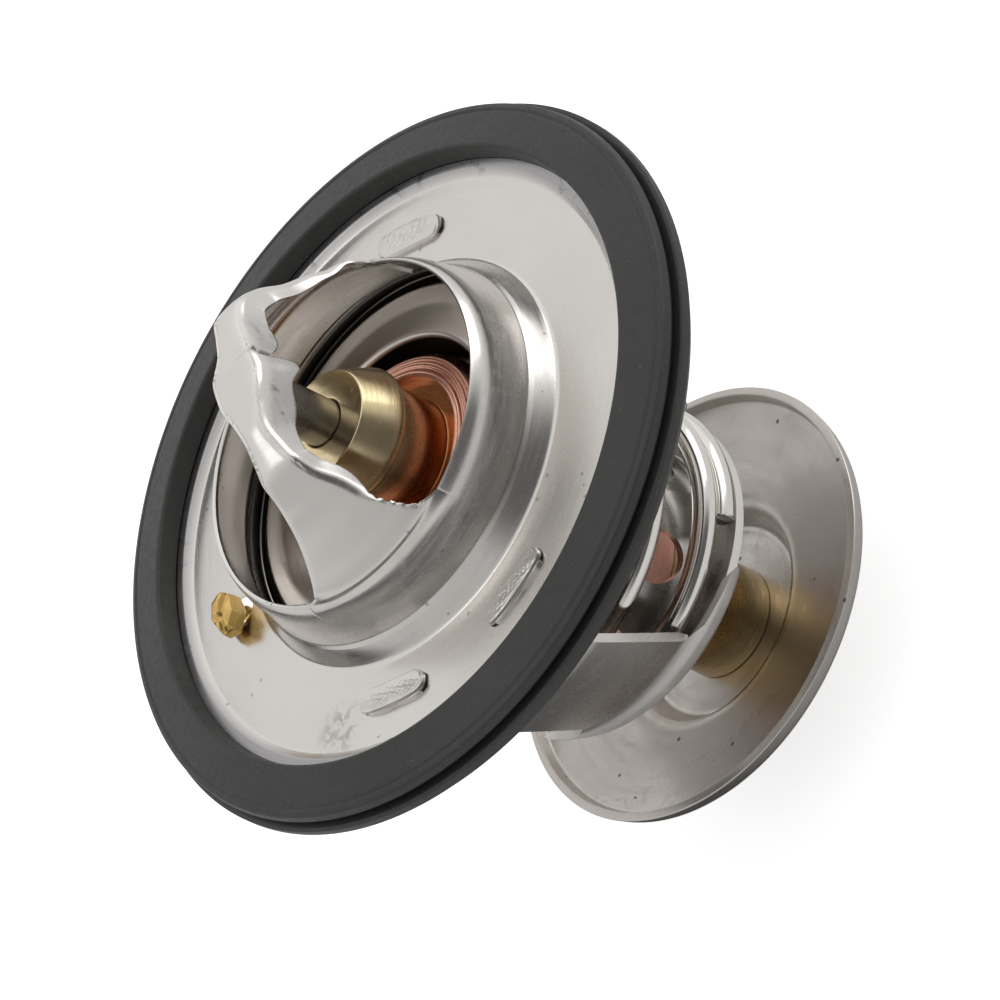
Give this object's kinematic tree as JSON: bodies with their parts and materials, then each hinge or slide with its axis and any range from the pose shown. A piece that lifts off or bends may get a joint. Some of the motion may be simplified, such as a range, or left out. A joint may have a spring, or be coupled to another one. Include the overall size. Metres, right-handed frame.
{
  "type": "engine thermostat",
  "caption": "Wax-element engine thermostat: round rubber-rimmed flange with bridge, spring cage and valve, and a bypass disc on a stem.",
  "frame": {"origin": "on the axis, in the plane of the gasket's rear face, where it seats in the housing", "axes": "+Z along the axis towards the bridge, -Z towards the bypass disc, -Y towards one foot of the bridge and one cage leg, -X towards the vent pin"},
  "size_m": [0.073, 0.073, 0.0681],
  "materials": {
    "gasket_rubber": "matte moulded rubber, near black",
    "stainless_sheet": "drawn stainless sheet, satin on the flange and polished where it was drawn",
    "ground_steel": "ground and hardened pin",
    "washer_plastic": "smooth white plastic",
    "inner_rubber": "black rubber",
    "spring_wire": "bright drawn spring wire",
    "turned_brass": "turned brass with fine tool rings",
    "drawn_copper": "drawn copper, slightly dulled",
    "wax": "copper-filled wax",
    "disc_steel": "dull pressed steel with faint scuffs"
  },
  "bodies": {
    "fixed_frame": {"bridge_flange": "stainless_sheet", "rubber_gasket": "gasket_rubber", "cage": "stainless_sheet", "piston": "ground_steel", "piston_washer": "washer_plastic", "transfer_plug": "inner_rubber", "return_spring": "spring_wire"},
    "wax_element": {"piston_guide": "turned_brass", "diaphragm": "inner_rubber", "wax_capsule": "drawn_copper", "wax_charge": "wax", "valve_plate": "stainless_sheet", "bypass_stem": "turned_brass", "bypass_disc": "disc_steel"},
    "vent": {"vent_pin": "turned_brass", "vent_weight": "turned_brass"}
  },
  "joints": [
    {"name": "valve_travel", "type": "slide", "parent": "fixed_frame", "child": "wax_element", "axis": [0, 0, -1], "range_m": [0, 0.008], "stiffness_N_per_m": 200, "springref_m": -0.006, "deforming": ["return_spring"]},
    {"name": "vent_lift", "type": "slide", "parent": "fixed_frame", "child": "vent", "axis": [0, 0, 1], "range_m": [0, 0.0012]}
  ]
}
